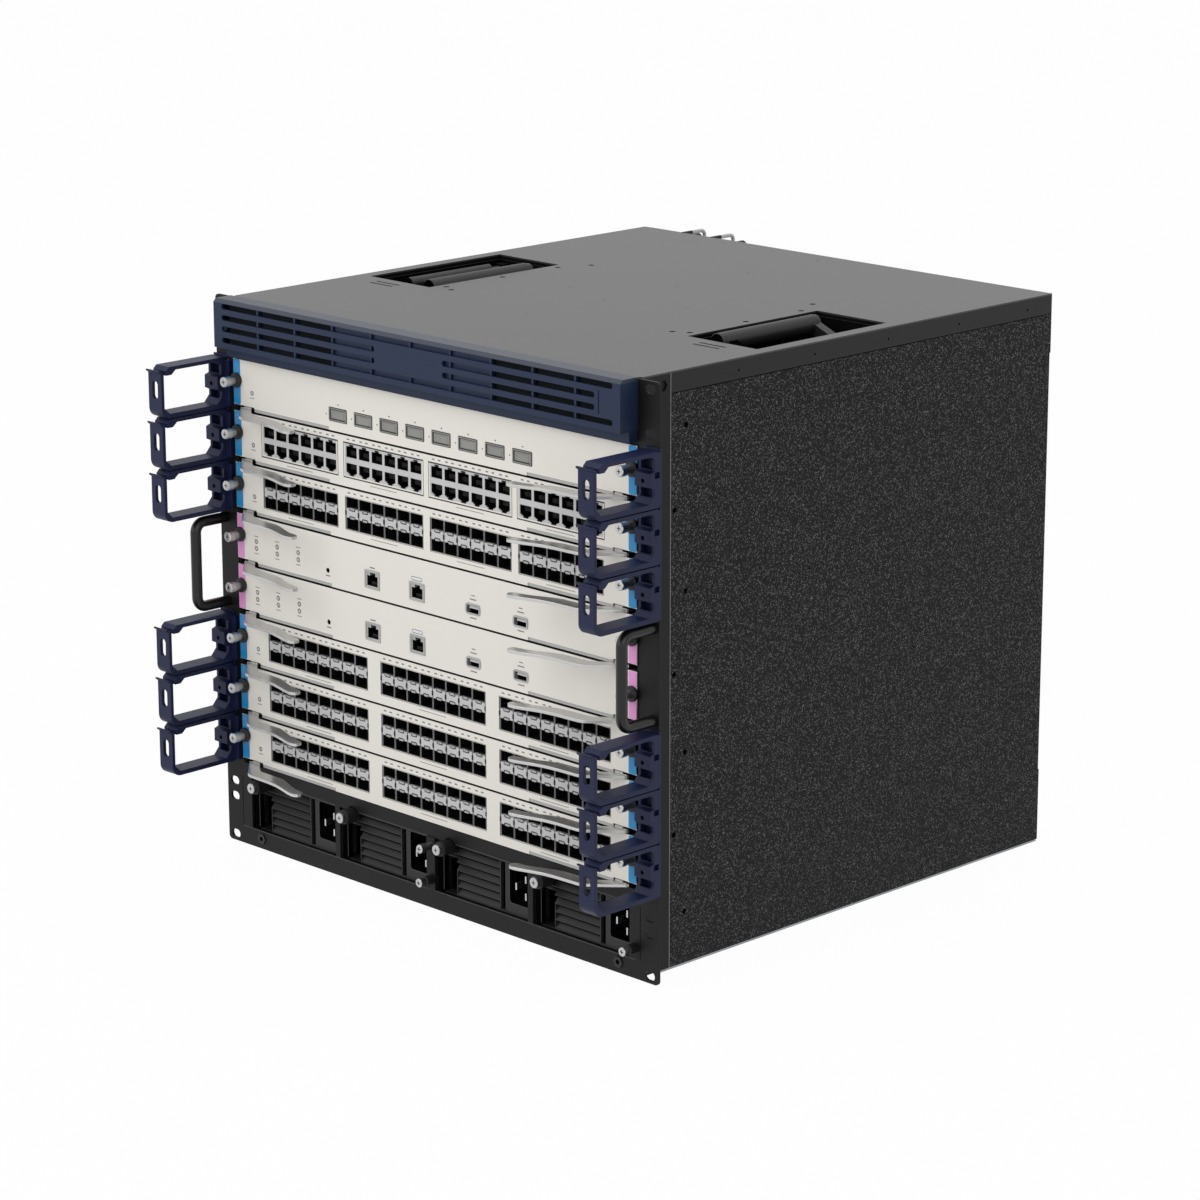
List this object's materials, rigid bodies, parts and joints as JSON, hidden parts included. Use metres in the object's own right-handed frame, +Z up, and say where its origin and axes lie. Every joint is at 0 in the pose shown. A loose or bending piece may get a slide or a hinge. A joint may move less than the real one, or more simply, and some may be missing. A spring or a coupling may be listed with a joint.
{
  "type": "modular chassis switch",
  "caption": "Ten-unit rack switch chassis with horizontal line cards on ejector levers, plug-in power supplies, an intake bezel, cable brackets and fold-down lifting handles",
  "frame": {"origin": "centre of the bottom face of the chassis body, on its centre plane and halfway between the front of the rack ears and the rear panel", "axes": "+X to the right seen from the front, +Y to the rear (the card faces look towards -Y), +Z up"},
  "size_m": [0.4866, 0.5506, 0.4462],
  "materials": {
    "black_steel": "satin",
    "side_steel": "textured",
    "zinc_steel": "satin",
    "faceplate_aluminium": "satin",
    "satin_aluminium": "satin",
    "chrome_lever": "polished",
    "power_supply": "satin",
    "navy_plastic": "satin",
    "filter_foam": "open foam",
    "black_grip": "satin",
    "board": "satin"
  },
  "bodies": {
    "chassis": {"front_frame": "black_steel", "bottom_pan": "zinc_steel", "side_panel_left": "side_steel", "side_panel_right": "side_steel", "panel_screws": "black_steel", "top_cover": "black_steel", "handle_wells": "black_steel", "rear_panel": "black_steel", "power_deck": "zinc_steel", "power_cage": "zinc_steel", "frame_returns": "black_steel", "card_guide_left": "zinc_steel", "card_guide_right": "zinc_steel", "backplane": "board", "cable_brackets": "navy_plastic", "carry_handles": "zinc_steel", "frame_thumbscrews": "satin_aluminium", "ground_inserts": "zinc_steel"},
    "card_1": {"card_1": "faceplate_aluminium", "card_screws_1": "satin_aluminium"},
    "card_2": {"card_2": "faceplate_aluminium", "card_screws_2": "satin_aluminium"},
    "card_3": {"card_3": "faceplate_aluminium", "card_screws_3": "satin_aluminium"},
    "card_4": {"card_4": "faceplate_aluminium", "card_screws_4": "satin_aluminium"},
    "card_5": {"card_5": "faceplate_aluminium", "card_screws_5": "satin_aluminium"},
    "card_6": {"card_6": "faceplate_aluminium", "card_screws_6": "satin_aluminium"},
    "card_7": {"card_7": "faceplate_aluminium", "card_screws_7": "satin_aluminium"},
    "card_8": {"card_8": "faceplate_aluminium", "card_screws_8": "satin_aluminium"},
    "lever_1_left": {"lever_1_left": "chrome_lever"},
    "lever_1_right": {"lever_1_right": "chrome_lever"},
    "lever_2_left": {"lever_2_left": "chrome_lever"},
    "lever_2_right": {"lever_2_right": "chrome_lever"},
    "lever_3_left": {"lever_3_left": "chrome_lever"},
    "lever_3_right": {"lever_3_right": "chrome_lever"},
    "lever_4_left": {"lever_4_left": "chrome_lever"},
    "lever_4_right": {"lever_4_right": "chrome_lever"},
    "lever_5_left": {"lever_5_left": "chrome_lever"},
    "lever_5_right": {"lever_5_right": "chrome_lever"},
    "lever_6_left": {"lever_6_left": "chrome_lever"},
    "lever_6_right": {"lever_6_right": "chrome_lever"},
    "lever_7_left": {"lever_7_left": "chrome_lever"},
    "lever_7_right": {"lever_7_right": "chrome_lever"},
    "lever_8_left": {"lever_8_left": "chrome_lever"},
    "lever_8_right": {"lever_8_right": "chrome_lever"},
    "psu_1": {"psu_1": "power_supply"},
    "psu_2": {"psu_2": "power_supply"},
    "psu_3": {"psu_3": "power_supply"},
    "psu_4": {"psu_4": "power_supply"},
    "fan_tray_1": {"fan_tray_1": "black_steel"},
    "fan_tray_2": {"fan_tray_2": "black_steel"},
    "top_handle_left": {"top_handle_left": "black_grip"},
    "top_handle_right": {"top_handle_right": "black_grip"},
    "bezel": {"intake_bezel": "navy_plastic", "air_filter": "filter_foam"}
  },
  "joints": [
    {"name": "card_1_slide", "type": "slide", "parent": "chassis", "child": "card_1", "axis": [0, -1, 0], "range_m": [0, 0.3]},
    {"name": "card_2_slide", "type": "slide", "parent": "chassis", "child": "card_2", "axis": [0, -1, 0], "range_m": [0, 0.3]},
    {"name": "card_3_slide", "type": "slide", "parent": "chassis", "child": "card_3", "axis": [0, -1, 0], "range_m": [0, 0.3]},
    {"name": "card_4_slide", "type": "slide", "parent": "chassis", "child": "card_4", "axis": [0, -1, 0], "range_m": [0, 0.3]},
    {"name": "card_5_slide", "type": "slide", "parent": "chassis", "child": "card_5", "axis": [0, -1, 0], "range_m": [0, 0.3]},
    {"name": "card_6_slide", "type": "slide", "parent": "chassis", "child": "card_6", "axis": [0, -1, 0], "range_m": [0, 0.3]},
    {"name": "card_7_slide", "type": "slide", "parent": "chassis", "child": "card_7", "axis": [0, -1, 0], "range_m": [0, 0.3]},
    {"name": "card_8_slide", "type": "slide", "parent": "chassis", "child": "card_8", "axis": [0, -1, 0], "range_m": [0, 0.3]},
    {"name": "lever_1_left_swing", "type": "hinge", "parent": "card_1", "child": "lever_1_left", "pos_m": [-0.205, -0.21975, 0.3571], "axis": [0, 0, -1], "range_deg": [0, 50]},
    {"name": "lever_1_right_swing", "type": "hinge", "parent": "card_1", "child": "lever_1_right", "pos_m": [0.205, -0.21975, 0.3571], "axis": [0, 0, 1], "range_deg": [0, 50]},
    {"name": "lever_2_left_swing", "type": "hinge", "parent": "card_2", "child": "lever_2_left", "pos_m": [-0.205, -0.21975, 0.3161], "axis": [0, 0, -1], "range_deg": [0, 50]},
    {"name": "lever_2_right_swing", "type": "hinge", "parent": "card_2", "child": "lever_2_right", "pos_m": [0.205, -0.21975, 0.3161], "axis": [0, 0, 1], "range_deg": [0, 50]},
    {"name": "lever_3_left_swing", "type": "hinge", "parent": "card_3", "child": "lever_3_left", "pos_m": [-0.205, -0.21975, 0.2751], "axis": [0, 0, -1], "range_deg": [0, 50]},
    {"name": "lever_3_right_swing", "type": "hinge", "parent": "card_3", "child": "lever_3_right", "pos_m": [0.205, -0.21975, 0.2751], "axis": [0, 0, 1], "range_deg": [0, 50]},
    {"name": "lever_4_left_swing", "type": "hinge", "parent": "card_4", "child": "lever_4_left", "pos_m": [-0.205, -0.21975, 0.2341], "axis": [0, 0, -1], "range_deg": [0, 50]},
    {"name": "lever_4_right_swing", "type": "hinge", "parent": "card_4", "child": "lever_4_right", "pos_m": [0.205, -0.21975, 0.2341], "axis": [0, 0, 1], "range_deg": [0, 50]},
    {"name": "lever_5_left_swing", "type": "hinge", "parent": "card_5", "child": "lever_5_left", "pos_m": [-0.205, -0.21975, 0.1931], "axis": [0, 0, -1], "range_deg": [0, 50]},
    {"name": "lever_5_right_swing", "type": "hinge", "parent": "card_5", "child": "lever_5_right", "pos_m": [0.205, -0.21975, 0.1931], "axis": [0, 0, 1], "range_deg": [0, 50]},
    {"name": "lever_6_left_swing", "type": "hinge", "parent": "card_6", "child": "lever_6_left", "pos_m": [-0.205, -0.21975, 0.1521], "axis": [0, 0, -1], "range_deg": [0, 50]},
    {"name": "lever_6_right_swing", "type": "hinge", "parent": "card_6", "child": "lever_6_right", "pos_m": [0.205, -0.21975, 0.1521], "axis": [0, 0, 1], "range_deg": [0, 50]},
    {"name": "lever_7_left_swing", "type": "hinge", "parent": "card_7", "child": "lever_7_left", "pos_m": [-0.205, -0.21975, 0.1111], "axis": [0, 0, -1], "range_deg": [0, 50]},
    {"name": "lever_7_right_swing", "type": "hinge", "parent": "card_7", "child": "lever_7_right", "pos_m": [0.205, -0.21975, 0.1111], "axis": [0, 0, 1], "range_deg": [0, 50]},
    {"name": "lever_8_left_swing", "type": "hinge", "parent": "card_8", "child": "lever_8_left", "pos_m": [-0.205, -0.21975, 0.0701], "axis": [0, 0, -1], "range_deg": [0, 50]},
    {"name": "lever_8_right_swing", "type": "hinge", "parent": "card_8", "child": "lever_8_right", "pos_m": [0.205, -0.21975, 0.0701], "axis": [0, 0, 1], "range_deg": [0, 50]},
    {"name": "psu_1_slide", "type": "slide", "parent": "chassis", "child": "psu_1", "axis": [0, -1, 0], "range_m": [0, 0.26]},
    {"name": "psu_2_slide", "type": "slide", "parent": "chassis", "child": "psu_2", "axis": [0, -1, 0], "range_m": [0, 0.26]},
    {"name": "psu_3_slide", "type": "slide", "parent": "chassis", "child": "psu_3", "axis": [0, -1, 0], "range_m": [0, 0.26]},
    {"name": "psu_4_slide", "type": "slide", "parent": "chassis", "child": "psu_4", "axis": [0, -1, 0], "range_m": [0, 0.26]},
    {"name": "fan_tray_1_slide", "type": "slide", "parent": "chassis", "child": "fan_tray_1", "axis": [0, 1, 0], "range_m": [0, 0.055]},
    {"name": "fan_tray_2_slide", "type": "slide", "parent": "chassis", "child": "fan_tray_2", "axis": [0, 1, 0], "range_m": [0, 0.055]},
    {"name": "top_handle_left_lift", "type": "hinge", "parent": "chassis", "child": "top_handle_left", "pos_m": [-0.2006, -0.02425, 0.4352], "axis": [0, -1, 0], "range_deg": [0, 90]},
    {"name": "top_handle_right_lift", "type": "hinge", "parent": "chassis", "child": "top_handle_right", "pos_m": [0.2006, -0.02425, 0.4352], "axis": [0, 1, 0], "range_deg": [0, 90]},
    {"name": "bezel_pull", "type": "slide", "parent": "chassis", "child": "bezel", "axis": [0, -1, 0], "range_m": [0, 0.05]}
  ]
}
